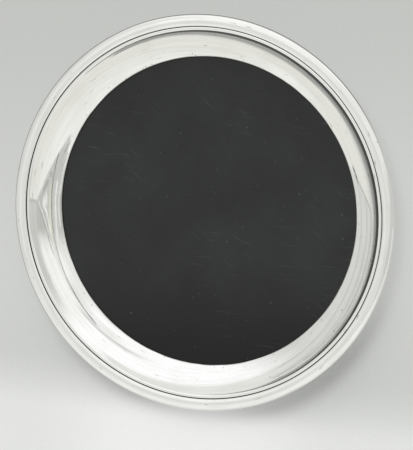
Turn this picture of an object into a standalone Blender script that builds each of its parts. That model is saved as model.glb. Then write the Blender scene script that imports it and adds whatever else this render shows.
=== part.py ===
# Round serving tray: a turned silver border with an applied rim band, holding a board
# faced with black laminate. Metres, +Z up, origin on the tray's axis at the face it rests on.

import math

import bpy

# Plan sizes, measured outward or inward from the rim
TRAY_RADIUS = 0.1524
BAND_WIDTH = 0.0090
LEDGE_WIDTH = 0.0025
WALL_WIDTH = 0.0214
LIP_OVERLAP = 0.0032

# The wall is a long hollow curve, and its last stretch curls up more tightly to the ledge
CURL_WIDTH = 0.0028
WALL_FOOT_SLOPE = math.radians(19.3)
WALL_KNEE_SLOPE = math.radians(39)
WALL_TOP_SLOPE = math.radians(51)
LEDGE_LIFT = 0.0005
LEDGE_SLOPE = math.radians(2)

# Thicknesses
BORDER_SHEET = 0.0009
BASE_SHEET = 0.0009
FACE_THICKNESS = 0.0012
CORE_THICKNESS = 0.0032
BACKING_THICKNESS = 0.0005

# The shell's flange drops behind the ledge to make a seat for the rim band
SEAT_DROP = 0.00095
SEAT_RUN = 0.0004
SEAT_INNER_BEND = 0.00015
FLANGE_SLOPE = math.radians(5)

# Rim band
BAND_RISE = 0.0002
BAND_CROWN_RADIUS = 0.018
BAND_SHOULDER_ROUND = 0.0006
ROLL_RADIUS = 0.0020
ROLL_CENTRE_DROP = 0.0018
REBATE_WALL = 0.0025

# Base ring
FOOT_WIDTH = 0.0100
FOOT_CORNER_ROUND = 0.0015
FLARE_LENGTH = 0.0034
FLARE_CORNER_ROUND = 0.0012

# Fits and small edges
JOINT_GAP = 0.0003
SHEET_EDGE_ROUND = 0.00025
BOARD_EDGE_CHAMFER = 0.0002
MERGE_DISTANCE = 0.00001

# Fineness of the round shapes
TURN_STEPS = 72
WALL_STEPS = 6
CURL_STEPS = 2
ROLL_STEPS = 4
CROWN_STEPS = 4
ROUND_STEPS = 3

# Places that follow from the sizes above, radius first
BAND_INNER_RADIUS = TRAY_RADIUS - BAND_WIDTH
LEDGE_OUTER_RADIUS = BAND_INNER_RADIUS - SEAT_RUN - JOINT_GAP
WALL_TOP_RADIUS = LEDGE_OUTER_RADIUS - LEDGE_WIDTH
OPENING_RADIUS = WALL_TOP_RADIUS - WALL_WIDTH
BOARD_RADIUS = OPENING_RADIUS + LIP_OVERLAP
SKIRT_OUTER_RADIUS = BOARD_RADIUS + JOINT_GAP + BASE_SHEET

# Heights, bottom to top
BACKING_BOTTOM = BASE_SHEET + JOINT_GAP
CORE_BOTTOM = BACKING_BOTTOM + BACKING_THICKNESS + JOINT_GAP
FACE_BOTTOM = CORE_BOTTOM + CORE_THICKNESS + JOINT_GAP
FACE_TOP = FACE_BOTTOM + FACE_THICKNESS
LIP_TOP = FACE_TOP + JOINT_GAP + BORDER_SHEET

# The wall's two arcs turn about points above the well, and meet smoothly at the knee
KNEE_TURN = math.sin(WALL_KNEE_SLOPE) - math.sin(WALL_FOOT_SLOPE)
CURL_TURN = math.sin(WALL_TOP_SLOPE) - math.sin(WALL_KNEE_SLOPE)
WALL_ARC_RADIUS = (WALL_WIDTH - CURL_WIDTH) / KNEE_TURN
CURL_ARC_RADIUS = CURL_WIDTH / CURL_TURN
WALL_ARC_CENTRE = (
    OPENING_RADIUS - WALL_ARC_RADIUS * math.sin(WALL_FOOT_SLOPE),
    LIP_TOP + WALL_ARC_RADIUS * math.cos(WALL_FOOT_SLOPE),
)
CURL_ARC_CENTRE = (
    WALL_ARC_CENTRE[0] + (WALL_ARC_RADIUS - CURL_ARC_RADIUS) * math.sin(WALL_KNEE_SLOPE),
    WALL_ARC_CENTRE[1] - (WALL_ARC_RADIUS - CURL_ARC_RADIUS) * math.cos(WALL_KNEE_SLOPE),
)


def clear_scene():
    for obj in list(bpy.data.objects):
        bpy.data.objects.remove(obj, do_unlink=True)


def new_collection(name):
    collection = bpy.data.collections.new(name)
    bpy.context.scene.collection.children.link(collection)
    return collection


def new_material(name, colour, metallic, roughness):
    material = bpy.data.materials.new(name)
    material.use_nodes = True
    shader = material.node_tree.nodes["Principled BSDF"]
    shader.inputs["Base Color"].default_value = (*colour, 1)
    shader.inputs["Metallic"].default_value = metallic
    shader.inputs["Roughness"].default_value = roughness
    material.diffuse_color = (*colour, 1)
    return material


def arc(centre, radius, start, end, steps):
    """Points on a circle in the radius-height plane, at angles from +radius towards +height."""
    angles = [start + (end - start) * i / steps for i in range(steps + 1)]
    return [
        (centre[0] + radius * math.cos(a), centre[1] + radius * math.sin(a))
        for a in angles
    ]


def step_along(point, slope, length):
    return (point[0] + length * math.cos(slope), point[1] + length * math.sin(slope))


def bearing(origin, point):
    return math.atan2(point[1] - origin[1], point[0] - origin[0])


def lower_meeting(first, first_distance, second, second_distance):
    """The lower of the two points that lie at these distances from two others."""
    apart = math.dist(first, second)
    along = (first_distance**2 - second_distance**2 + apart**2) / (2 * apart)
    aside = math.sqrt(first_distance**2 - along**2)
    heading = bearing(first, second)
    return step_along(step_along(first, heading, along), heading - math.pi / 2, aside)


def fillet(before, corner, after, radius, steps):
    """The points of a round that replaces a corner between two straight runs."""
    heading_in = bearing(before, corner)
    heading_out = bearing(corner, after)
    turn = math.remainder(heading_out - heading_in, math.tau)
    side = math.copysign(math.pi / 2, turn)
    start = step_along(corner, heading_in, -radius * math.tan(abs(turn) / 2))
    centre = step_along(start, heading_in + side, radius)
    return arc(centre, radius, heading_in - side, heading_in - side + turn, steps)


def rounded_path(corners, radii, steps):
    """A path through the corners, with the inner ones rounded to the given radii."""
    path = [corners[0]]
    for before, corner, after, radius in zip(corners, corners[1:], corners[2:], radii):
        path += fillet(before, corner, after, radius, steps)
    return path + [corners[-1]]


def turned(name, profile, closed, material, collection):
    """Turns a profile of (radius, height) points about the tray's axis."""
    edges = [(i, i + 1) for i in range(len(profile) - 1)]
    if closed:
        edges.append((len(profile) - 1, 0))
    mesh = bpy.data.meshes.new(name)
    mesh.from_pydata([(radius, 0, height) for radius, height in profile], edges, [])
    mesh.materials.append(material)
    obj = bpy.data.objects.new(name, mesh)
    collection.objects.link(obj)
    screw = obj.modifiers.new("Turn", "SCREW")
    screw.axis = "Z"
    screw.steps = TURN_STEPS
    screw.render_steps = TURN_STEPS
    screw.use_merge_vertices = True
    screw.merge_threshold = MERGE_DISTANCE
    screw.use_smooth_shade = True
    return obj


def thicken_sheet(obj, thickness):
    """Gives a turned surface its sheet thickness on the far side, with eased edges."""
    sheet = obj.modifiers.new("Sheet", "SOLIDIFY")
    sheet.thickness = thickness
    sheet.offset = -1
    sheet.use_even_offset = True
    ease = obj.modifiers.new("Ease", "BEVEL")
    ease.width = SHEET_EDGE_ROUND
    ease.segments = 1
    ease.limit_method = "ANGLE"
    ease.angle_limit = math.radians(60)


def ledge_corners():
    """Corners of the ledge above the wall: wall top, ledge start and ledge outer edge."""
    wall_top = step_along(CURL_ARC_CENTRE, WALL_TOP_SLOPE - math.pi / 2, CURL_ARC_RADIUS)
    ledge_start = step_along(wall_top, WALL_TOP_SLOPE, LEDGE_LIFT / math.sin(WALL_TOP_SLOPE))
    ledge_run = (LEDGE_OUTER_RADIUS - ledge_start[0]) / math.cos(LEDGE_SLOPE)
    return wall_top, ledge_start, step_along(ledge_start, LEDGE_SLOPE, ledge_run)


def flange_corners():
    """Corners of the flange behind the ledge: the seat's foot and the flange's outer edge."""
    _, _, ledge_edge = ledge_corners()
    seat_foot = (ledge_edge[0] + SEAT_RUN, ledge_edge[1] - SEAT_DROP)
    rebate_radius = TRAY_RADIUS - REBATE_WALL
    flange_run = (rebate_radius - JOINT_GAP - seat_foot[0]) / math.cos(FLANGE_SLOPE)
    return seat_foot, step_along(seat_foot, -FLANGE_SLOPE, flange_run)


def border_profile():
    """The border's upper side: lip, hollow wall, ledge, and the flange under the band."""
    wall_top, ledge_start, ledge_edge = ledge_corners()
    seat_foot, flange_edge = flange_corners()
    foot_angle = WALL_FOOT_SLOPE - math.pi / 2
    knee_angle = WALL_KNEE_SLOPE - math.pi / 2
    top_angle = WALL_TOP_SLOPE - math.pi / 2
    wall = arc(WALL_ARC_CENTRE, WALL_ARC_RADIUS, foot_angle, knee_angle, WALL_STEPS)
    curl = arc(CURL_ARC_CENTRE, CURL_ARC_RADIUS, knee_angle, top_angle, CURL_STEPS)
    turn = WALL_TOP_SLOPE - LEDGE_SLOPE
    ledge_round = LEDGE_LIFT / math.sin(WALL_TOP_SLOPE) / math.tan(turn / 2)
    seat_edge_round = BORDER_SHEET + SEAT_INNER_BEND
    corners = [wall_top, ledge_start, ledge_edge, seat_foot, flange_edge]
    radii = [ledge_round, seat_edge_round, SEAT_INNER_BEND]
    rim = rounded_path(corners, radii, ROUND_STEPS)
    # The first round starts at the wall's top, where the curl has already ended
    return wall + curl[1:] + rim[2:]


def make_border_shell(material, collection):
    shell = turned("border_shell", border_profile(), False, material, collection)
    thicken_sheet(shell, BORDER_SHEET)


def band_profile():
    """The band's closed section: crowned top, rolled edge, rebate over the flange."""
    _, _, ledge_edge = ledge_corners()
    seat_foot, _ = flange_corners()
    roll_centre = (TRAY_RADIUS - ROLL_RADIUS, ledge_edge[1] - ROLL_CENTRE_DROP)
    shoulder = (BAND_INNER_RADIUS, ledge_edge[1] + BAND_RISE)
    crown_centre = lower_meeting(
        shoulder, BAND_CROWN_RADIUS, roll_centre, BAND_CROWN_RADIUS - ROLL_RADIUS
    )
    crown_start = bearing(crown_centre, shoulder)
    crown_end = bearing(crown_centre, roll_centre)
    rebate_radius = TRAY_RADIUS - REBATE_WALL
    flange_rise = JOINT_GAP / math.cos(FLANGE_SLOPE)
    rebate_run = (rebate_radius - seat_foot[0]) * math.tan(FLANGE_SLOPE)
    inner_run = (BAND_INNER_RADIUS - seat_foot[0]) * math.tan(FLANGE_SLOPE)
    rebate_top = (rebate_radius, seat_foot[1] - rebate_run + flange_rise)
    inner_bottom = (BAND_INNER_RADIUS, seat_foot[1] - inner_run + flange_rise)
    crown = arc(crown_centre, BAND_CROWN_RADIUS, crown_start, crown_end, CROWN_STEPS)
    edge = fillet(inner_bottom, shoulder, crown[1], BAND_SHOULDER_ROUND, ROUND_STEPS)
    upper_roll = arc(roll_centre, ROLL_RADIUS, crown_end, 0, ROLL_STEPS)
    lower_roll = arc(roll_centre, ROLL_RADIUS, 0, -math.pi / 2, ROLL_STEPS)
    roll_foot = (rebate_radius, roll_centre[1] - ROLL_RADIUS)
    outside = edge + crown[1:-1] + upper_roll + lower_roll[1:]
    return outside + [roll_foot, rebate_top, inner_bottom]


def make_rim_band(material, collection):
    turned("rim_band", band_profile(), True, material, collection)


def base_ring_path():
    """The base ring's outer side: flare under the wall, skirt, and the foot it rests on."""
    under_radius = WALL_ARC_RADIUS + BORDER_SHEET + JOINT_GAP + BASE_SHEET
    skirt_slope = math.asin((SKIRT_OUTER_RADIUS - WALL_ARC_CENTRE[0]) / under_radius)
    skirt_top = step_along(WALL_ARC_CENTRE, skirt_slope - math.pi / 2, under_radius)
    flare_slope = skirt_slope + FLARE_LENGTH / 2 / WALL_ARC_RADIUS
    flare_edge = step_along(skirt_top, flare_slope, FLARE_LENGTH)
    corners = [
        flare_edge,
        skirt_top,
        (SKIRT_OUTER_RADIUS, 0),
        (SKIRT_OUTER_RADIUS - FOOT_WIDTH, 0),
    ]
    return rounded_path(corners, [FLARE_CORNER_ROUND, FOOT_CORNER_ROUND], ROUND_STEPS)


def make_base_ring(material, collection):
    ring = turned("base_ring", base_ring_path(), False, material, collection)
    thicken_sheet(ring, BASE_SHEET)


def make_board_layer(name, bottom, thickness, material, collection):
    """One round sheet of the board, with its sharp edges taken off."""
    bpy.ops.mesh.primitive_cylinder_add(
        vertices=TURN_STEPS,
        radius=BOARD_RADIUS,
        depth=thickness,
        location=(0, 0, bottom + thickness / 2),
    )
    layer = bpy.context.object
    layer.name = name
    layer.data.name = name
    layer.data.materials.append(material)
    for holder in list(layer.users_collection):
        holder.objects.unlink(layer)
    collection.objects.link(layer)
    edge = layer.modifiers.new("Edge", "BEVEL")
    edge.width = min(BOARD_EDGE_CHAMFER, thickness / 3)
    edge.segments = 1
    edge.limit_method = "ANGLE"
    edge.angle_limit = math.radians(60)
    layer.data.shade_smooth()
    layer.data.set_sharp_from_angle(angle=math.radians(40))


def main():
    clear_scene()
    tray = new_collection("round_serving_tray")
    silver = new_material("polished_silver", (0.90, 0.89, 0.86), 1, 0.09)
    laminate = new_material("black_laminate", (0.028, 0.028, 0.030), 0, 0.5)
    hardboard = new_material("brown_hardboard", (0.20, 0.12, 0.065), 0, 0.85)
    backer = new_material("dark_backing_sheet", (0.060, 0.045, 0.035), 0, 0.7)
    make_border_shell(silver, tray)
    make_rim_band(silver, tray)
    make_base_ring(silver, tray)
    make_board_layer("laminate_face", FACE_BOTTOM, FACE_THICKNESS, laminate, tray)
    make_board_layer("core_board", CORE_BOTTOM, CORE_THICKNESS, hardboard, tray)
    make_board_layer("backing_sheet", BACKING_BOTTOM, BACKING_THICKNESS, backer, tray)


main()
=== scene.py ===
import math

import bpy
from mathutils import Matrix, Vector


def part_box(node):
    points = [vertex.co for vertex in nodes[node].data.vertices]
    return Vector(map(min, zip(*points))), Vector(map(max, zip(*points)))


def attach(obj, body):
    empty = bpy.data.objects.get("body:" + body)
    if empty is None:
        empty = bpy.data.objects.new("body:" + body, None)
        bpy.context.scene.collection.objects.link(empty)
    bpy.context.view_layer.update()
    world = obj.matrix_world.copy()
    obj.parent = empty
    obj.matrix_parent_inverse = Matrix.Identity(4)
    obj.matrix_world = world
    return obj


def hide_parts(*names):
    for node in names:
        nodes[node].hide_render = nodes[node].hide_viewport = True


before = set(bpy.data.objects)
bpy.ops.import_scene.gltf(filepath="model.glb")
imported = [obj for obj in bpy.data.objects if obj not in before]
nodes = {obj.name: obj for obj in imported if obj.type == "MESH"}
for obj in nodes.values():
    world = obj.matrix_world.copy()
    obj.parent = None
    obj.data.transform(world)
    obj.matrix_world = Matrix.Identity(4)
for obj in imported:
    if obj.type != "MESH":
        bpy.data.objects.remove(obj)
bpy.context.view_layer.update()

degree = math.pi / 180


def nodeRadii(name):
    radii = [math.hypot(v.co.x, v.co.y) for v in nodes[name].data.vertices]
    return min(radii), max(radii)


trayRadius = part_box("rim_band")[1].x
bandInnerRadius = nodeRadii("rim_band")[0]
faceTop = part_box("laminate_face")[1].z
boardRadius = nodeRadii("core_board")[1]
openingRadius = nodeRadii("border_shell")[0]
print("frame read, tray radius", round(trayRadius, 4))


# Camera, matched to the photograph's frame
cameraValues = {
    "aim": (-0.00191, -0.01076, 0.0074),  # tray point seen at the middle of the picture
    "direction": (0.3237, 0.1210, 0.93838),
    "distance": 4.588,
    "focalPixels": 6000,
    "pictureWidth": 413,
    "sensorWidth": 36,
}


def addCamera(values):
    data = bpy.data.cameras.new("camera")
    data.sensor_fit = "HORIZONTAL"
    data.sensor_width = values["sensorWidth"]
    data.lens = values["focalPixels"] / values["pictureWidth"] * values["sensorWidth"]
    camera = bpy.data.objects.new("camera", data)
    bpy.context.scene.collection.objects.link(camera)
    back = Vector(values["direction"]).normalized()
    up = back.cross(Vector((1, 0, 0))).normalized()
    right = up.cross(back)
    place = Vector(values["aim"]) + back * values["distance"]
    turn = Matrix((right, up, back)).transposed().to_4x4()
    camera.matrix_world = Matrix.Translation(place) @ turn
    bpy.context.scene.camera = camera


addCamera(cameraValues)
print("camera placed")


# Outlines are lists of (radius, height) points in metres, turned about the tray's axis
def arcPoints(centre, radius, start, end, count):
    angles = [start + (end - start) * i / count for i in range(count + 1)]
    return [(centre[0] + radius * math.cos(a), centre[1] + radius * math.sin(a)) for a in angles]


def along(point, heading, length):
    return (point[0] + length * math.cos(heading), point[1] + length * math.sin(heading))


def bearing(start, end):
    return math.atan2(end[1] - start[1], end[0] - start[0])


def roundCorner(before, corner, after, radius, count):
    headingIn = bearing(before, corner)
    turn = math.remainder(bearing(corner, after) - headingIn, math.tau)
    side = math.copysign(math.pi / 2, turn)
    start = along(corner, headingIn, -radius * math.tan(abs(turn) / 2))
    centre = along(start, headingIn + side, radius)
    return arcPoints(centre, radius, headingIn - side, headingIn - side + turn, count)


def roundedPath(corners, radii, count):
    path = [corners[0]]
    for i, radius in enumerate(radii):
        path += roundCorner(corners[i], corners[i + 1], corners[i + 2], radius, count)
    return path + [corners[-1]]


def movedUnder(path, distance):
    # the same path, lower by a distance measured square to it
    moved = []
    for i, point in enumerate(path):
        before, after = path[max(i - 1, 0)], path[min(i + 1, len(path) - 1)]
        moved.append(along(point, bearing(before, after) - math.pi / 2, distance))
    return moved


def sheetOutline(path, thickness, edgeRound, count):
    # a closed outline round a sheet: its upper side, an eased edge, its under side, an eased edge
    under = movedUnder(path, thickness)
    outline = path[1:-1]
    outline += roundCorner(path[-2], path[-1], under[-1], edgeRound, count)
    outline += roundCorner(path[-1], under[-1], under[-2], edgeRound, count)
    outline += under[-2:0:-1]
    outline += roundCorner(under[1], under[0], path[0], edgeRound, count)
    outline += roundCorner(under[0], path[0], path[1], edgeRound, count)
    return outline


def deselectAll():
    if bpy.context.mode != "OBJECT":
        bpy.ops.object.mode_set(mode="OBJECT")
    bpy.ops.object.select_all(action="DESELECT")


turnedValues = {
    "mergeDistance": 0.000001,
    "sharpAngle": 50 * degree,
}


def turnedPiece(name, outline, steps):
    # a ring is added at the outline's first point, then extruded and resized through the others
    deselectAll()
    radius, height = outline[0]
    bpy.ops.mesh.primitive_circle_add(vertices=steps, radius=radius, location=(0, 0, height))
    piece = bpy.context.object
    piece.name = piece.data.name = name
    bpy.ops.object.transform_apply(location=True)
    bpy.ops.object.mode_set(mode="EDIT")
    bpy.ops.mesh.select_all(action="SELECT")
    for nextRadius, nextHeight in outline[1:] + outline[:1]:
        lift = {"value": (0, 0, nextHeight - height)}
        bpy.ops.mesh.extrude_region_move(TRANSFORM_OT_translate=lift)
        scale = nextRadius / radius
        bpy.ops.transform.resize(value=(scale, scale, 1), center_override=(0, 0, 0))
        radius, height = nextRadius, nextHeight
    bpy.ops.mesh.select_all(action="SELECT")
    bpy.ops.mesh.remove_doubles(threshold=turnedValues["mergeDistance"])
    bpy.ops.mesh.normals_make_consistent(inside=False)
    bpy.ops.object.mode_set(mode="OBJECT")
    bpy.ops.object.shade_smooth_by_angle(angle=turnedValues["sharpAngle"])
    return piece


# Border shell: lip, hollow wall, ledge and the flange under the band
borderValues = {
    "steps": 512,
    "wallSteps": 26,
    "cornerSteps": 8,
    "edgeSteps": 4,
    "sheet": 0.0009,
    "edgeRound": 0.00025,
    "jointGap": 0.0003,
    "curlWidth": 0.0028,
    "footSlope": 19.3 * degree,
    "kneeSlope": 39 * degree,
    "topSlope": 51 * degree,
    "ledgeWidth": 0.0025,
    "ledgeLift": 0.0005,
    "ledgeSlope": 2 * degree,
    "seatRun": 0.0004,
    "seatDrop": 0.00095,
    "seatBend": 0.00015,
    "flangeSlope": 5 * degree,
    "rebateWall": 0.0025,
}


def hollowArc(start, radius, slopeStart, slopeEnd):
    # an arc that starts at a point and steepens from one slope to another
    centre = along(start, slopeStart + math.pi / 2, radius)
    return centre, along(centre, slopeEnd - math.pi / 2, radius)


def borderShape(v):
    foot, knee, top = v["footSlope"], v["kneeSlope"], v["topSlope"]
    ledgeOuter = bandInnerRadius - v["seatRun"] - v["jointGap"]
    wallTopRadius = ledgeOuter - v["ledgeWidth"]
    wallWidth = wallTopRadius - v["curlWidth"] - openingRadius
    wallRadius = wallWidth / (math.sin(knee) - math.sin(foot))
    curlRadius = v["curlWidth"] / (math.sin(top) - math.sin(knee))
    lip = (openingRadius, faceTop + v["jointGap"] + v["sheet"])
    wallCentre, kneePoint = hollowArc(lip, wallRadius, foot, knee)
    curlCentre, wallTop = hollowArc(kneePoint, curlRadius, knee, top)
    ledgeStart = along(wallTop, top, v["ledgeLift"] / math.sin(top))
    ledgeRun = ledgeOuter - ledgeStart[0]
    ledgeEdge = along(ledgeStart, v["ledgeSlope"], ledgeRun / math.cos(v["ledgeSlope"]))
    seatFoot = (ledgeEdge[0] + v["seatRun"], ledgeEdge[1] - v["seatDrop"])
    flangeRun = trayRadius - v["rebateWall"] - v["jointGap"] - seatFoot[0]
    flangeEdge = along(seatFoot, -v["flangeSlope"], flangeRun / math.cos(v["flangeSlope"]))
    return {
        "wall": (wallCentre, wallRadius),
        "curl": (curlCentre, curlRadius),
        "corners": [wallTop, ledgeStart, ledgeEdge, seatFoot, flangeEdge],
    }


border = borderShape(borderValues)


def borderPath(v, shape):
    foot, knee, top = (v[key] - math.pi / 2 for key in ("footSlope", "kneeSlope", "topSlope"))
    wall = arcPoints(*shape["wall"], foot, knee, v["wallSteps"])
    curl = arcPoints(*shape["curl"], knee, top, v["cornerSteps"])
    halfTurn = (v["topSlope"] - v["ledgeSlope"]) / 2
    ledgeRound = v["ledgeLift"] / math.sin(v["topSlope"]) / math.tan(halfTurn)
    bends = [ledgeRound, v["sheet"] + v["seatBend"], v["seatBend"]]
    rim = roundedPath(shape["corners"], bends, v["cornerSteps"])
    return wall + curl[1:] + rim[2:]


def sheetPiece(name, path, v):
    outline = sheetOutline(path, v["sheet"], v["edgeRound"], v["edgeSteps"])
    return turnedPiece(name, outline, v["steps"])


borderShell = sheetPiece("borderShell", borderPath(borderValues, border), borderValues)
print("border shell turned")


# Rim band: crowned top, rolled edge, rebate over the flange
bandValues = {
    "steps": 512,
    "crownSteps": 24,
    "crownSkip": 3,  # crown steps that the shoulder's round takes up
    "rollSteps": 24,
    "shoulderSteps": 8,
    "footSteps": 3,
    "rise": 0.0002,
    "crownRadius": 0.018,
    "shoulderRound": 0.0006,
    "rollRadius": 0.0020,
    "rollDrop": 0.0018,
    "footRound": 0.0002,
}


def circleMeeting(first, firstReach, second, secondReach):
    # the lower of the two points at these distances from the two given ones
    apart = math.dist(first, second)
    forward = (firstReach**2 - secondReach**2 + apart**2) / (2 * apart)
    aside = math.sqrt(firstReach**2 - forward**2)
    heading = bearing(first, second)
    return along(along(first, heading, forward), heading - math.pi / 2, aside)


def bandOutline(v, shape):
    wallTop, ledgeStart, ledgeEdge, seatFoot, flangeEdge = shape["corners"]
    slope = borderValues["flangeSlope"]
    lift = borderValues["jointGap"] / math.cos(slope)
    rebateRadius = trayRadius - borderValues["rebateWall"]
    rollCentre = (trayRadius - v["rollRadius"], ledgeEdge[1] - v["rollDrop"])
    shoulder = (bandInnerRadius, ledgeEdge[1] + v["rise"])
    crownReach, rollReach = v["crownRadius"], v["crownRadius"] - v["rollRadius"]
    crownCentre = circleMeeting(shoulder, crownReach, rollCentre, rollReach)
    crownStart, crownEnd = (bearing(crownCentre, point) for point in (shoulder, rollCentre))
    crown = arcPoints(crownCentre, crownReach, crownStart, crownEnd, v["crownSteps"])
    crown = crown[v["crownSkip"]:-1]
    innerFoot, rebateTop = (
        (radius, seatFoot[1] - (radius - seatFoot[0]) * math.tan(slope) + lift)
        for radius in (bandInnerRadius, rebateRadius)
    )
    edge = roundCorner(innerFoot, shoulder, crown[0], v["shoulderRound"], v["shoulderSteps"])
    roll = arcPoints(rollCentre, v["rollRadius"], crownEnd, -math.pi / 2, v["rollSteps"])
    rollFoot = (rebateRadius, roll[-1][1])
    foot = roundCorner(roll[-1], rollFoot, rebateTop, v["footRound"], v["footSteps"])
    return edge + crown + roll + foot + [rebateTop, innerFoot]


rimBand = turnedPiece("rimBand", bandOutline(bandValues, border), bandValues["steps"])
print("rim band turned")


# Base ring: flare under the wall, skirt round the board, and the turned-in foot
ringValues = {
    "steps": 360,
    "cornerSteps": 8,
    "edgeSteps": 4,
    "sheet": 0.0009,
    "edgeRound": 0.00025,
    "footWidth": 0.010,
    "footRound": 0.0015,
    "flareLength": 0.0034,
    "flareRound": 0.0012,
}


def ringPath(v, shape):
    centre, wallRadius = shape["wall"]
    gap = borderValues["jointGap"]
    skirtRadius = boardRadius + gap + v["sheet"]
    reach = wallRadius + borderValues["sheet"] + gap + v["sheet"]
    skirtSlope = math.asin((skirtRadius - centre[0]) / reach)
    skirtTop = along(centre, skirtSlope - math.pi / 2, reach)
    flareEdge = along(skirtTop, skirtSlope + v["flareLength"] / 2 / wallRadius, v["flareLength"])
    corners = [flareEdge, skirtTop, (skirtRadius, 0), (skirtRadius - v["footWidth"], 0)]
    return roundedPath(corners, [v["flareRound"], v["footRound"]], v["cornerSteps"])


baseRing = sheetPiece("baseRing", ringPath(ringValues, border), ringValues)
print("base ring turned")


# Node helpers: a value is either a number to set or a socket to link
def addNode(tree, kind, values, settings=None):
    node = tree.nodes.new(kind)
    for key, setting in (settings or {}).items():
        setattr(node, key, setting)
    for key, value in values.items():
        if isinstance(value, bpy.types.NodeSocket):
            tree.links.new(value, node.inputs[key])
        else:
            node.inputs[key].default_value = value
    return node


def addMath(tree, operation, *values):
    return addNode(tree, "ShaderNodeMath", dict(enumerate(values)), {"operation": operation}).outputs[0]


def plus(tree, first, second):
    return addMath(tree, "ADD", first, second)


def minus(tree, first, second):
    return addMath(tree, "SUBTRACT", first, second)


def times(tree, first, second):
    return addMath(tree, "MULTIPLY", first, second)


def larger(tree, first, second):
    return addMath(tree, "MAXIMUM", first, second)


def addFade(tree, value, start, end, low=0, high=1):
    limits = {"Value": value, "From Min": start, "From Max": end, "To Min": low, "To Max": high}
    settings = {"interpolation_type": "SMOOTHSTEP"}
    return addNode(tree, "ShaderNodeMapRange", limits, settings).outputs["Result"]


def addMix(tree, amount, first, second, blend="MIX"):
    settings = {"data_type": "RGBA", "blend_type": blend}
    return addNode(tree, "ShaderNodeMix", {0: amount, 6: first, 7: second}, settings).outputs[2]


def addNumberMix(tree, amount, first, second):
    settings = {"data_type": "FLOAT"}
    return addNode(tree, "ShaderNodeMix", {0: amount, 2: first, 3: second}, settings).outputs[0]


def addVectorMath(tree, operation, *values):
    return addNode(tree, "ShaderNodeVectorMath", dict(enumerate(values)), {"operation": operation})


def addDot(tree, first, second):
    return addVectorMath(tree, "DOT_PRODUCT", first, second).outputs["Value"]


def joined(tree, x, y, z):
    return addNode(tree, "ShaderNodeCombineXYZ", {0: x, 1: y, 2: z}).outputs[0]


def parted(tree, vector):
    return addNode(tree, "ShaderNodeSeparateXYZ", {0: vector}).outputs


def addNoise(tree, place, scale, detail=2, roughness=0.5):
    values = {"Vector": place, "Scale": scale, "Detail": detail, "Roughness": roughness}
    return addNode(tree, "ShaderNodeTexNoise", values).outputs[0]


def rgb(colour):
    return (*colour, 1)


# Shader groups that several finishes share. The numbers are the values that a finish may change
def newGroup(name, numbers, vectors=("Place",)):
    group = bpy.data.node_groups.new(name, "ShaderNodeTree")
    for key in vectors:
        group.interface.new_socket(key, in_out="INPUT", socket_type="NodeSocketVector")
    for key, number in numbers.items():
        socket = group.interface.new_socket(key, in_out="INPUT", socket_type="NodeSocketFloat")
        socket.default_value = number
    group.interface.new_socket("Mask", in_out="OUTPUT", socket_type="NodeSocketFloat")
    inputs = group.nodes.new("NodeGroupInput").outputs
    return group, inputs, group.nodes.new("NodeGroupOutput").inputs["Mask"]


def makeRingMask():
    # 1 on a ring about the tray's axis
    numbers = {"Radius": 0.1, "Half Width": 0.001, "Softness": 0.0002}
    group, inputs, mask = newGroup("ringMask", numbers)
    apart = parted(group, inputs["Place"])
    reach = addVectorMath(group, "LENGTH", joined(group, apart[0], apart[1], 0.0)).outputs["Value"]
    offRing = addMath(group, "ABSOLUTE", minus(group, reach, inputs["Radius"]))
    outside = plus(group, inputs["Half Width"], inputs["Softness"])
    group.links.new(addFade(group, offRing, outside, inputs["Half Width"]), mask)
    return group


def makePatchMask():
    # cloudy patches, as of tarnish or handling
    numbers = {"Scale": 20, "Low": 0.5, "High": 0.7, "Detail": 4}
    group, inputs, mask = newGroup("patchMask", numbers)
    cloud = addNoise(group, inputs["Place"], inputs["Scale"], inputs["Detail"], 0.6)
    group.links.new(addFade(group, cloud, inputs["Low"], inputs["High"]), mask)
    return group


def makeScratchMask():
    # fine straight scratches, all along one direction, in broken clusters
    numbers = {"Turn": 0, "Scale": 60, "Stretch": 30, "Low": 0.66, "High": 0.74, "Cluster": 12}
    clusterLow, clusterHigh = 0.48, 0.62
    group, inputs, mask = newGroup("scratchMask", numbers)
    values = {"Vector": inputs["Place"], "Angle": inputs["Turn"]}
    turned = addNode(group, "ShaderNodeVectorRotate", values, {"rotation_type": "Z_AXIS"})
    apart = parted(group, turned.outputs[0])
    line = joined(group, apart[0], times(group, apart[1], inputs["Stretch"]), apart[2])
    streak = addFade(group, addNoise(group, line, inputs["Scale"], 1), inputs["Low"], inputs["High"])
    cluster = addNoise(group, inputs["Place"], inputs["Cluster"])
    cluster = addFade(group, cluster, clusterLow, clusterHigh)
    group.links.new(times(group, streak, cluster), mask)
    return group


def makeSpotMask():
    # small scattered spots, such as pits and specks, in a share of the cells
    numbers = {"Scale": 200, "Size": 0.2, "Share": 0.2}
    coreShare = 0.4
    group, inputs, mask = newGroup("spotMask", numbers)
    values = {"Vector": inputs["Place"], "Scale": inputs["Scale"]}
    cells = addNode(group, "ShaderNodeTexVoronoi", values).outputs
    spot = addFade(group, cells["Distance"], inputs["Size"], times(group, inputs["Size"], coreShare))
    draw = addNode(group, "ShaderNodeSeparateColor", {0: cells["Color"]}).outputs[0]
    chosen = addMath(group, "LESS_THAN", draw, inputs["Share"])
    group.links.new(times(group, spot, chosen), mask)
    return group


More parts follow.
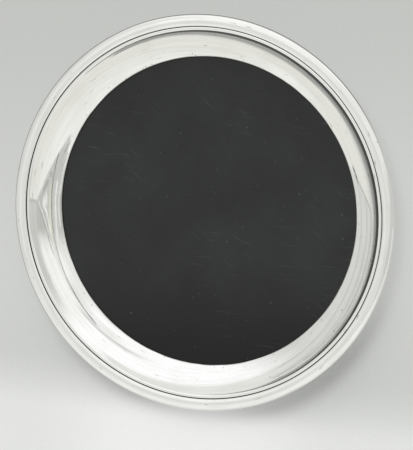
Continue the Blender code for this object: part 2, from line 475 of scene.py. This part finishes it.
def makeTurnedMask():
    # fine rings left by spinning and polishing, broken up along their length
    numbers = {"Scale": 800, "Breaks": 5, "Low": 0.45, "High": 0.7}
    group, inputs, mask = newGroup("turnedMask", numbers)
    apart = parted(group, inputs["Place"])
    flat = joined(group, apart[0], apart[1], 0.0)
    reach = addVectorMath(group, "LENGTH", flat).outputs["Value"]
    around = parted(group, addVectorMath(group, "NORMALIZE", flat).outputs[0])
    across = times(group, plus(group, reach, apart[2]), inputs["Scale"])
    first, second = (times(group, part, inputs["Breaks"]) for part in around[:2])
    line = joined(group, first, second, across)
    group.links.new(addFade(group, addNoise(group, line, 1.0, 1), inputs["Low"], inputs["High"]), mask)
    return group


groups = {
    "ring": makeRingMask(),
    "patch": makePatchMask(),
    "scratch": makeScratchMask(),
    "spot": makeSpotMask(),
    "turned": makeTurnedMask(),
}


def addGroup(tree, kind, place, numbers):
    node = tree.nodes.new("ShaderNodeGroup")
    node.node_tree = groups[kind]
    tree.links.new(place, node.inputs["Place"])
    for key, number in numbers.items():
        node.inputs[key].default_value = number
    return node.outputs["Mask"]


def newMaterial(name):
    material = bpy.data.materials.new(name)
    material.use_nodes = True
    tree = material.node_tree
    place = tree.nodes.new("ShaderNodeTexCoord").outputs["Object"]
    return material, tree, tree.nodes["Principled BSDF"], place


def addBump(tree, shader, height, strength, distance):
    values = {"Strength": strength, "Distance": distance, "Height": height}
    tree.links.new(addNode(tree, "ShaderNodeBump", values).outputs[0], shader.inputs["Normal"])


# Silver: polished, with old tarnish in the joint and the wear of polishing
silverValues = {
    "colour": (0.94, 0.94, 0.93),
    "handled": (0.88, 0.878, 0.858),
    "turned": (0.80, 0.80, 0.785),
    "tarnish": (0.20, 0.185, 0.16),
    "roughness": 0.045,
    "handledRoughness": 0.10,
    "scratchRoughness": 0.22,
    "dirtRoughness": 0.4,
    "cloud": {"Scale": 42, "Low": 0.42, "High": 0.74},
    "cloudShare": 0.7,
    "joint": {"Radius": bandInnerRadius - 0.00035, "Half Width": 0.00026, "Softness": 0.00015},
    "jointPacked": (0.6, 1),  # least and most dirt along the joint
    "lip": {"Radius": openingRadius + 0.0002, "Half Width": 0.0003, "Softness": 0.0003},
    "lipPacked": (0.1, 0.6),
    "besideLip": {"Radius": openingRadius + 0.0018, "Half Width": 0.0012, "Softness": 0.0008},
    "lipSpecks": {"Scale": 420, "Size": 0.3, "Share": 0.10},
    "pits": {"Scale": 170, "Size": 0.16, "Share": 0.05},
    "pitShare": 0.7,
    "dashes": {"Scale": 520, "Breaks": 16, "Low": 0.70, "High": 0.78},
    "dashShare": 0.5,
    "fineRings": {"Scale": 750},
    "fineRingShare": 0.28,
    "broadRings": {"Scale": 230, "Breaks": 3, "Low": 0.4, "High": 0.75},
    "broadRingShare": 0.16,
    "firstScratches": {"Turn": 0.35, "Scale": 70, "Stretch": 26},
    "secondScratches": {"Turn": -0.9, "Scale": 60, "Stretch": 34, "Cluster": 17},
    "waveScale": 26,
    "waveHeight": 0.00003,
    "ringHeight": 0.08,  # as parts of the wave's height
    "scratchDepth": 0.06,
}


def makeSilver(v):
    material, tree, shader, place = newMaterial("polishedSilver")
    cloud = addGroup(tree, "patch", place, v["cloud"])
    fineRings = addGroup(tree, "turned", place, v["fineRings"])
    broadRings = addGroup(tree, "turned", place, v["broadRings"])
    scratches = larger(
        tree,
        addGroup(tree, "scratch", place, v["firstScratches"]),
        addGroup(tree, "scratch", place, v["secondScratches"]),
    )

    # dirt in the joint and along the lip
    jointPacked = addFade(tree, addNoise(tree, place, 14), 0.4, 0.6, *v["jointPacked"])
    lipPacked = addFade(tree, addNoise(tree, place, 60), 0.3, 0.6, *v["lipPacked"])
    dirt = larger(
        tree,
        times(tree, addGroup(tree, "ring", place, v["joint"]), jointPacked),
        times(tree, addGroup(tree, "ring", place, v["lip"]), lipPacked),
    )

    # pits all over, more of them beside the lip, and short dark dashes
    besideLip = addGroup(tree, "ring", place, v["besideLip"])
    lipSpecks = times(tree, addGroup(tree, "spot", place, v["lipSpecks"]), besideLip)
    pits = larger(tree, addGroup(tree, "spot", place, v["pits"]), lipSpecks)
    dashes = times(tree, addGroup(tree, "turned", place, v["dashes"]), v["dashShare"])
    pits = larger(tree, pits, dashes)

    colour = addMix(tree, times(tree, cloud, v["cloudShare"]), rgb(v["colour"]), rgb(v["handled"]))
    rings = times(tree, fineRings, v["fineRingShare"])
    rings = plus(tree, rings, times(tree, broadRings, v["broadRingShare"]))
    colour = addMix(tree, rings, colour, rgb(v["turned"]))
    colour = addMix(tree, times(tree, pits, v["pitShare"]), colour, rgb(v["tarnish"]))
    colour = addMix(tree, dirt, colour, rgb(v["tarnish"]))
    tree.links.new(colour, shader.inputs["Base Color"])
    shader.inputs["Metallic"].default_value = 1

    roughness = addFade(tree, cloud, 0, 1, v["roughness"], v["handledRoughness"])
    roughness = plus(tree, roughness, times(tree, scratches, v["scratchRoughness"]))
    roughness = plus(tree, roughness, times(tree, dirt, v["dirtRoughness"]))
    tree.links.new(roughness, shader.inputs["Roughness"])

    wave = addNoise(tree, place, v["waveScale"], 1)
    wave = plus(tree, wave, times(tree, fineRings, v["ringHeight"]))
    wave = minus(tree, wave, times(tree, scratches, v["scratchDepth"]))
    addBump(tree, shader, wave, 1, v["waveHeight"])
    return material


# Laminate: satin black, mottled by use, with scratches and specks, darker towards its near side by
# painted shade, and lighter at grazing views by a painted sheen
laminateValues = {
    "colour": (0.0170, 0.0183, 0.0180),
    "worn": (0.0245, 0.0266, 0.0257),
    # painted shade: the colour that the near side is darkened towards
    "dark": (0.0050, 0.0054, 0.0055),
    "mark": (0.085, 0.090, 0.088),
    # painted sheen: the grey that the colour turns towards at grazing views, between the two facing
    # values below
    "paintedSheen": (0.34, 0.35, 0.335),
    "sheenFrom": 0.86,
    "sheenTo": 0.955,
    "gloss": 0.28,
    "roughness": 0.34,
    "wornRoughness": 0.42,
    "scratchRoughness": 0.1,
    # painted shade on the near side: where it starts and where it is full, along Y
    "paintedShadeFrom": -0.030,
    "paintedShadeTo": -0.120,
    "cloud": {"Scale": 17, "Low": 0.35, "High": 0.7},
    "largeSpecks": {"Scale": 150, "Size": 0.15, "Share": 0.06},
    "smallSpecks": {"Scale": 380, "Size": 0.24, "Share": 0.035},
    "speckShare": 0.6,
    "firstScratches": {"Turn": 0.12, "Scale": 55, "Stretch": 22, "Low": 0.655, "High": 0.77},
    "secondScratches": {
        "Turn": 0.75, "Scale": 48, "Stretch": 26, "Low": 0.66, "High": 0.79, "Cluster": 15,
    },
    "scratchShare": 0.38,
    "stippleScale": 2600,
    "stippleStrength": 0.3,
    "stippleHeight": 0.00003,
}


def makeLaminate(v):
    material, tree, shader, place = newMaterial("blackLaminate")
    cloud = addGroup(tree, "patch", place, v["cloud"])
    colour = addMix(tree, cloud, rgb(v["colour"]), rgb(v["worn"]))
    # painted shade: the colour darkens towards the near side, along -Y
    near = addFade(tree, parted(tree, place)[1], v["paintedShadeFrom"], v["paintedShadeTo"])
    colour = addMix(tree, near, colour, rgb(v["dark"]))
    specks = larger(
        tree,
        addGroup(tree, "spot", place, v["largeSpecks"]),
        addGroup(tree, "spot", place, v["smallSpecks"]),
    )
    colour = addMix(tree, times(tree, specks, v["speckShare"]), colour, rgb(v["mark"]))
    scratches = larger(
        tree,
        addGroup(tree, "scratch", place, v["firstScratches"]),
        addGroup(tree, "scratch", place, v["secondScratches"]),
    )
    colour = addMix(tree, times(tree, scratches, v["scratchShare"]), colour, rgb(v["mark"]))
    # painted sheen: the colour turns lighter grey at grazing views, in place of a reflection
    facing = tree.nodes.new("ShaderNodeLayerWeight").outputs["Facing"]
    paintedSheenShare = addFade(tree, facing, v["sheenFrom"], v["sheenTo"])
    colour = addMix(tree, paintedSheenShare, colour, rgb(v["paintedSheen"]))
    tree.links.new(colour, shader.inputs["Base Color"])

    roughness = addFade(tree, cloud, 0, 1, v["roughness"], v["wornRoughness"])
    roughness = plus(tree, roughness, times(tree, scratches, v["scratchRoughness"]))
    tree.links.new(roughness, shader.inputs["Roughness"])
    shader.inputs["Specular IOR Level"].default_value = v["gloss"]
    stipple = addNoise(tree, place, v["stippleScale"], 1)
    addBump(tree, shader, minus(tree, stipple, scratches), v["stippleStrength"], v["stippleHeight"])
    return material


# Hardboard: pressed brown fibre
hardboardValues = {
    "colour": (0.20, 0.12, 0.065),
    "dark": (0.11, 0.062, 0.033),
    "roughness": 0.85,
    "fibre": {"Turn": 0.4, "Scale": 240, "Stretch": 7, "Low": 0.45, "High": 0.6, "Cluster": 60},
    "cloud": {"Scale": 120, "Low": 0.35, "High": 0.7},
    "grainScale": 900,
    "grainStrength": 0.5,
    "grainHeight": 0.0001,
}


def makeHardboard(v):
    material, tree, shader, place = newMaterial("pressedHardboard")
    fibre = addGroup(tree, "scratch", place, v["fibre"])
    cloud = addGroup(tree, "patch", place, v["cloud"])
    colour = addMix(tree, larger(tree, fibre, cloud), rgb(v["colour"]), rgb(v["dark"]))
    tree.links.new(colour, shader.inputs["Base Color"])
    shader.inputs["Roughness"].default_value = v["roughness"]
    grain = addNoise(tree, place, v["grainScale"], 4)
    addBump(tree, shader, grain, v["grainStrength"], v["grainHeight"])
    return material


# Backing: brown unpolished laminate, sanded one way, rubbed and stained
backingValues = {
    "colour": (0.060, 0.045, 0.035),
    "rubbed": (0.105, 0.082, 0.066),
    "stain": (0.030, 0.022, 0.017),
    "roughness": 0.62,
    "rubbedRoughness": 0.75,
    "cloud": {"Scale": 15, "Low": 0.4, "High": 0.72},
    "stains": {"Scale": 32, "Low": 0.60, "High": 0.68, "Detail": 2},
    "sanding": {"Turn": 0.05, "Scale": 50, "Stretch": 40, "Low": 0.5, "High": 0.64, "Cluster": 9},
    "rubbedShare": 0.5,
    "stainShare": 0.7,
    "grainScale": 1400,
    "grainStrength": 0.35,
    "grainHeight": 0.00005,
}


def makeBacking(v):
    material, tree, shader, place = newMaterial("backingLaminate")
    cloud = addGroup(tree, "patch", place, v["cloud"])
    stains = addGroup(tree, "patch", place, v["stains"])
    sanding = addGroup(tree, "scratch", place, v["sanding"])
    rubbed = times(tree, plus(tree, cloud, sanding), v["rubbedShare"])
    colour = addMix(tree, rubbed, rgb(v["colour"]), rgb(v["rubbed"]))
    colour = addMix(tree, times(tree, stains, v["stainShare"]), colour, rgb(v["stain"]))
    tree.links.new(colour, shader.inputs["Base Color"])
    roughness = addFade(tree, cloud, 0, 1, v["roughness"], v["rubbedRoughness"])
    tree.links.new(roughness, shader.inputs["Roughness"])
    grain = plus(tree, sanding, addNoise(tree, place, v["grainScale"], 2))
    addBump(tree, shader, grain, v["grainStrength"], v["grainHeight"])
    return material


def dress(piece, material):
    piece.data.materials.clear()
    piece.data.materials.append(material)


silver = makeSilver(silverValues)
for piece, node in ((borderShell, "border_shell"), (rimBand, "rim_band"), (baseRing, "base_ring")):
    dress(piece, silver)
    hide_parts(node)
    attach(piece, "root")
dress(nodes["laminate_face"], makeLaminate(laminateValues))
dress(nodes["core_board"], makeHardboard(hardboardValues))
dress(nodes["backing_sheet"], makeBacking(backingValues))
print("materials set")


# Floor: pale paper, painted a little lighter towards the near side, as light falling off towards the
# back, with a painted pool of light in front of the tray. Part of its tone is its own glow, for the
# camera and for what the silver mirrors, so that the tray's shadow on it stays a soft one.
# Places are metres along Y unless the note says otherwise
floorValues = {
    "height": -0.0002,  # a hair under the foot, so the two faces don't share one plane
    "size": 12,
    "farColour": (0.570, 0.580, 0.560),
    "middleColour": (0.645, 0.655, 0.635),
    "nearColour": (0.79, 0.80, 0.785),
    # painted pool of light, as thrown by the silver: the near floor is lightest about frontX
    "paintedPoolColour": (0.90, 0.905, 0.895),
    "awayColour": (0.63, 0.64, 0.62),
    "farToMiddle": (0.17, -0.03),
    "middleToNear": (-0.120, -0.172),
    "nearSlope": 0.10,  # how much the near edge turns with X
    "frontX": -0.03,
    "frontReach": (0.13, 0.03),  # along X, either side of frontX
    "away": (0.27, 0.60),  # from the tray's axis
    # painted shade: the silver sees the floor behind the tray darker than the camera does
    "behind": (-0.06, 0.03),
    "behindSlope": -0.6,
    "behindPaintedShade": 0.55,  # what the silver mirrors there is darker by this part
    "farGlow": 0.70,
    "nearGlow": 0.42,
    "frontGlow": 0.75,
    "mirroredGlow": 0.85,
    "glowFarToNear": (-0.05, -0.125),
    "glowNearToFront": (-0.148, -0.168),
    "grain": 0.02,
    "grainScale": 400,
    "roughness": 0.9,
    "gloss": 0.1,
}


def addFloor(v):
    deselectAll()
    bpy.ops.mesh.primitive_plane_add(size=v["size"], location=(0, 0, v["height"]))
    floor = bpy.context.object
    floor.name = "floor"
    material, tree, shader, place = newMaterial("floorPaper")
    x, y = parted(tree, place)[:2]
    # painted light falloff: the tone steps lighter from the far colour to the middle and near colours
    # along Y
    middle = addFade(tree, y, *v["farToMiddle"])
    colour = addMix(tree, middle, rgb(v["farColour"]), rgb(v["middleColour"]))
    aside = addMath(tree, "ABSOLUTE", minus(tree, x, v["frontX"]))
    # painted pool of light in front of the tray, lightest about frontX
    front = addFade(tree, aside, *v["frontReach"])
    front = addMix(tree, front, rgb(v["nearColour"]), rgb(v["paintedPoolColour"]))
    slanted = plus(tree, y, times(tree, x, v["nearSlope"]))
    colour = addMix(tree, addFade(tree, slanted, *v["middleToNear"]), colour, front)
    reach = addVectorMath(tree, "LENGTH", place).outputs["Value"]
    colour = addMix(tree, addFade(tree, reach, *v["away"]), colour, rgb(v["awayColour"]))
    grain = addFade(tree, addNoise(tree, place, v["grainScale"], 3), 0.3, 0.7, 1 - v["grain"], 1)
    colour = addMix(tree, 1.0, colour, joined(tree, grain, grain, grain), "MULTIPLY")

    path = tree.nodes.new("ShaderNodeLightPath").outputs
    # painted shade in what the silver mirrors of the floor behind the tray
    behind = plus(tree, y, times(tree, x, v["behindSlope"]))
    behind = addFade(tree, behind, *v["behind"], 0, v["behindPaintedShade"])
    colour = addMix(tree, times(tree, path["Is Glossy Ray"], behind), colour, (0, 0, 0, 1))
    glow = addFade(tree, y, *v["glowFarToNear"], v["farGlow"], v["nearGlow"])
    glow = addFade(tree, slanted, *v["glowNearToFront"], glow, v["frontGlow"])
    seen = times(tree, path["Is Camera Ray"], glow)
    seen = larger(tree, seen, times(tree, path["Is Glossy Ray"], v["mirroredGlow"]))
    tree.links.new(addMix(tree, seen, colour, (0, 0, 0, 1)), shader.inputs["Base Color"])
    tree.links.new(colour, shader.inputs["Emission Color"])
    tree.links.new(seen, shader.inputs["Emission Strength"])
    shader.inputs["Roughness"].default_value = v["roughness"]
    shader.inputs["Specular IOR Level"].default_value = v["gloss"]
    dress(floor, material)


addFloor(floorValues)
print("floor laid")


# Lamps: soft daylight from above, and a lower, broader one that gives the floor its wide shadow
lampValues = {
    "keyLamp": {"towards": (0.02, 0.56, 0.83), "strength": 1.4, "angle": 28 * degree},
    "lowLamp": {"towards": (-0.08, 0.86, 0.50), "strength": 2.2, "angle": 64 * degree},
}


def addLamp(name, v):
    data = bpy.data.lights.new(name, "SUN")
    data.energy = v["strength"]
    data.angle = v["angle"]
    lamp = bpy.data.objects.new(name, data)
    bpy.context.scene.collection.objects.link(lamp)
    lamp.rotation_euler = Vector(v["towards"]).to_track_quat("Z", "Y").to_euler()
    lamp.visible_glossy = False


for name, values in lampValues.items():
    addLamp(name, values)
print("lamps set")


# Room: what the silver mirrors. All angles are degrees, azimuth from +X towards +Y and height
# above the horizon, and levels are the grey levels that the silver then shows.
# Panels: azimuth from and to, height from and to, softness of these four edges, level
roomValues = {
    "base": 233,
    "backdrop": (0.62, 0.63, 0.61),
    "diffuseShare": 0.22,  # how much of the room lights what isn't mirror-like
    "secondMirror": 0.52,  # how much of it is left after a second reflection
    "secondDepth": 2.5,
    "unevenness": (0.955, 1.035),
    "unevenScale": (1.6, 1.6, 24),  # along X, along Y, and with height
    "panels": [
        ((190, 262), (64, 82), (12, 10, 6, 5), 221),
        ((258, 350), (70, 84), (10, 10, 5, 4), 203),
        ((136, 202), (-30, 58), (12, 8, 5, 8), 213),
        ((136, 196), (24, 26.5), (6, 6, 1.2, 1.2), 200),
        ((132, 196), (13, 16.5), (6, 6, 1.2, 1.2), 198),
        ((132, 196), (-30, 10), (6, 6, 5, 2), 202),
        ((120, 200), (-30, -3), (5, 5, 5, 2.5), 100),
        ((128, 162), (-30, 4.5), (4, 6, 5, 2.5), 140),
        ((-16, 32), (-30, 36), (3, 14, 5, 5), 201),
        ((-16, 20), (52, 64), (3, 12, 3, 7), 218),
        ((304, 361), (40, 74), (2, 6, 4, 5), 196),
        ((341, 361), (34, 45.5), (2.5, 3, 2.5, 2), 190),
        ((344.6, 347.6), (33.8, 37.4), (1.2, 1.0, 1.5, 1.2), 200),
        ((268, 300), (38, 58), (8, 5, 6, 5), 238),
        ((10, 30), (56, 64), (4, 5, 3, 3), 246),
        ((7, 60), (36, 53), (4, 10, 3, 2.5), 245),
        ((40, 66), (-30, 36), (9, 6, 5, 5), 253),
        ((64, 128), (-30, 30), (5, 6, 5, 3), 229),
        ((50, 136), (28, 68), (10, 14, 3, 4), 256),
        ((95, 178), (67, 80), (12, 10, 3, 4), 248),
        ((56, 72), (53, 60), (10, 8, 2, 3), 240),
        ((43, 84), (48.4, 51.8), (6, 14, 2, 1.8), 203),
    ],
    "tableSpots": [
        ((216, 230), (22, 34), (8, 8, 5, 5), 240),
        ((186, 206), (-30, 6), (4, 8, 5, 5), 200),
        ((192, 226), (-30, 1.5), (5, 6, 5, 2.5), 178),
    ],
    "nearShade": ((214, 279), (-80, 40), (7, 2, 1, 1), 163),
    "nearShadeEdge": ((220, 4), (270, 10.5)),  # a line through two directions, dark below it
    "nearShadeSoftness": 0.045,
    "tableLow": (226, 226, 219),
    "tableHigh": (239, 239, 235),
    "tableFade": (22, 54),
    # each table edge is the plane through the tray's middle that is square to this direction
    "tableLeft": (-0.0746, 0.9249, 0.3729),
    "tableTop": (0, 0.956, 0.292),
    "tableRight": (-0.2085, 0.7968, 0.5671),
    "tableSide": (0.228, 0.974, 0),
    "tableCorners": ((-0.5, -0.3), (0.28, 0.34)),  # where one edge takes over from the next, along X
    "tableEdge": 0.008,
}

# Streaks: arcs from one direction to the next, then half width, softness and level
streakValues = [
    (((346.3, 36), (353, 43.7), (1.1, 48), (12, 51)), 0.5, 0.4, 158),
    (((346.4, 37.3), (352.7, 45.9), (0.8, 50.9), (7.8, 54.7)), 0.45, 0.4, 244),
    (((346.6, 39.6), (352.5, 47.1), (358, 50.1), (6, 53)), 0.4, 0.4, 170),
    (((346, 43.2), (349.8, 49.8), (354.5, 51.4), (0.5, 53.2)), 0.6, 0.5, 246),
    (((345.5, 44), (343, 50)), 1.5, 1.2, 232),
    (((344, 46.8), (340, 47.4)), 0.8, 0.6, 228),
    (((341.5, 42), (338.5, 44), (334, 48.2)), 0.9, 0.9, 168),
    (((334, 52.5), (350, 54), (3, 54)), 1.2, 1.0, (220, 221, 204)),
    (
        ((318, 50.8), (336, 54.6), (355, 56.8), (9, 57.1), (24.7, 56.3), (42, 55), (56, 52.5)),
        0.5, 0.4, 138,
    ),
    (((318, 50.8), (327, 53.2), (336, 54.8)), 0.5, 0.4, 120),
    (((305, 58.6), (313, 57)), 0.6, 0.5, 162),
    (((331, 67.3), (344, 68.7), (353, 69.6)), 0.5, 0.4, 168),
    (((311, 63.4), (324, 65.4), (339, 66), (353, 67.6)), 0.55, 0.5, 244),
    (((328, 60), (341, 61.5), (355, 62.1), (9, 60)), 1.1, 0.8, 234),
    (((187, 5.6), (174, 7), (159.1, 9.6), (141.6, 12.1), (131.6, 14.6)), 0.35, 0.35, 158),
    (((195.5, 26), (191, 16), (187, 5.2)), 0.35, 0.3, 175),
    (((197.6, 25.4), (194.3, 23.6)), 0.8, 0.5, 85),
    (((346.6, 34.5), (347.6, 8)), 0.5, 0.5, 182),
]


def linear(level):
    part = level / 255
    return part / 12.92 if part < 0.04 else ((part + 0.055) / 1.055) ** 2.4


def mirrored(level):
    # the light that the silver shows as this level: one grey, a little warm, or red, green and blue
    if not isinstance(level, tuple):
        warmth = min(1, max(0, (257 - level) / 12))
        level = (level, level + 0.6 * warmth, level - 4 * warmth)
    return rgb(linear(part) / share for part, share in zip(level, silverValues["colour"]))


def heading(azimuth, height):
    across, up = azimuth * degree, height * degree
    return Vector((math.cos(up) * math.cos(across), math.cos(up) * math.sin(across), math.sin(up)))


def panelMask(tree, azimuth, height, across, up, softness):
    middle, half = sum(across) / 2 * degree, (across[1] - across[0]) / 2 * degree
    softFrom, softTo, softLow, softHigh = (part * degree for part in softness)
    aside = addMath(tree, "WRAP", minus(tree, azimuth, middle), math.pi, -math.pi)
    low, high = (part * degree for part in up)
    mask = addFade(tree, aside, -half - softFrom, -half + softFrom)
    mask = addFade(tree, aside, half + softTo, half - softTo, 0, mask)
    mask = addFade(tree, height, low - softLow, low + softLow, 0, mask)
    return addFade(tree, height, high + softHigh, high - softHigh, 0, mask)


def makeStreakMask():
    # 1 near the arc between two directions
    numbers = {"Half Width": 0.01, "Softness": 0.01}
    vectors = ("Ray", "Side", "Start Side", "End Side")
    endSoftness = 0.008
    group, inputs, mask = newGroup("streakMask", numbers, vectors)
    offArc = addMath(group, "ABSOLUTE", addDot(group, inputs["Ray"], inputs["Side"]))
    outer = plus(group, inputs["Half Width"], inputs["Softness"])
    near = addFade(group, offArc, outer, minus(group, inputs["Half Width"], inputs["Softness"]))
    for key in ("Start Side", "End Side"):
        inside = addDot(group, inputs["Ray"], inputs[key])
        near = addFade(group, inside, -endSoftness, endSoftness, 0, near)
    group.links.new(near, mask)
    return group


groups["streak"] = makeStreakMask()


def addStreak(tree, ray, points, halfWidth, softness):
    whole = None
    for first, second in zip(points, points[1:]):
        start, end = heading(*first), heading(*second)
        side = start.cross(end).normalized()
        node = tree.nodes.new("ShaderNodeGroup")
        node.node_tree = groups["streak"]
        tree.links.new(ray, node.inputs["Ray"])
        node.inputs["Side"].default_value = side
        node.inputs["Start Side"].default_value = side.cross(start)
        node.inputs["End Side"].default_value = end.cross(side)
        node.inputs["Half Width"].default_value = halfWidth * degree
        node.inputs["Softness"].default_value = softness * degree
        mask = node.outputs["Mask"]
        whole = larger(tree, whole, mask) if whole else mask
    return whole


def addPanels(tree, azimuth, height, colour, panels):
    for across, up, softness, level in panels:
        mask = panelMask(tree, azimuth, height, across, up, softness)
        colour = addMix(tree, mask, colour, mirrored(level))
    return colour


def addTable(tree, ray, azimuth, height, v):
    # the table in front, and the shade at its near end
    low, high = (part * degree for part in v["tableFade"])
    fade = addFade(tree, height, low, high)
    table = addMix(tree, fade, mirrored(v["tableLow"]), mirrored(v["tableHigh"]))
    table = addPanels(tree, azimuth, height, table, v["tableSpots"])
    across, up, softness, level = v["nearShade"]
    shade = panelMask(tree, azimuth, height, across, up, softness)
    start, end = (heading(*point) for point in v["nearShadeEdge"])
    above = addDot(tree, ray, start.cross(end).normalized())
    shade = times(tree, shade, addFade(tree, above, v["nearShadeSoftness"], -v["nearShadeSoftness"]))
    return addMix(tree, shade, table, mirrored(level))


def addTableMask(tree, ray, x, v):
    # 1 on the table, whose edges are straight lines in the room
    leftEdge, topEdge, rightEdge, sideEdge = (
        addDot(tree, ray, v[key]) for key in ("tableLeft", "tableTop", "tableRight", "tableSide")
    )
    rightEdge = larger(tree, rightEdge, sideEdge)
    leftCorner, rightCorner = v["tableCorners"]
    edge = addNumberMix(tree, addFade(tree, x, *leftCorner), leftEdge, topEdge)
    edge = addNumberMix(tree, addFade(tree, x, *rightCorner), edge, rightEdge)
    return addFade(tree, edge, v["tableEdge"], -v["tableEdge"])


def addRoom(v, streaks):
    world = bpy.data.worlds.new("room")
    bpy.context.scene.world = world
    world.use_nodes = True
    tree = world.node_tree
    ray = tree.nodes.new("ShaderNodeTexCoord").outputs["Generated"]
    x, y, z = parted(tree, ray)
    azimuth = addMath(tree, "ARCTAN2", y, x)
    height = addMath(tree, "ARCSINE", z)
    colour = addPanels(tree, azimuth, height, mirrored(v["base"]), v["panels"])
    table = addTable(tree, ray, azimuth, height, v)
    colour = addMix(tree, addTableMask(tree, ray, x, v), colour, table)
    for points, halfWidth, softness, level in streaks:
        mask = addStreak(tree, ray, points, halfWidth, softness)
        colour = addMix(tree, mask, colour, mirrored(level))

    # fine light and dark lines, level all round the room
    spread = joined(tree, *(times(tree, *pair) for pair in zip((x, y, height), v["unevenScale"])))
    uneven = addFade(tree, addNoise(tree, spread, 1.0, 2), 0.3, 0.7, *v["unevenness"])
    scaled = addVectorMath(tree, "SCALE", colour)
    tree.links.new(uneven, scaled.inputs["Scale"])

    path = tree.nodes.new("ShaderNodeLightPath").outputs
    colour = addMix(tree, path["Is Camera Ray"], scaled.outputs[0], rgb(v["backdrop"]))
    background = tree.nodes["Background"]
    tree.links.new(colour, background.inputs["Color"])
    dim = times(tree, path["Is Diffuse Ray"], 1 - v["diffuseShare"])
    again = addMath(tree, "GREATER_THAN", path["Ray Depth"], v["secondDepth"])
    again = times(tree, again, path["Is Glossy Ray"])
    dim = plus(tree, dim, times(tree, again, 1 - v["secondMirror"]))
    tree.links.new(minus(tree, 1, dim), background.inputs["Strength"])


addRoom(roomValues, streakValues)
bpy.context.scene.view_settings.view_transform = "Standard"
print("room lit")
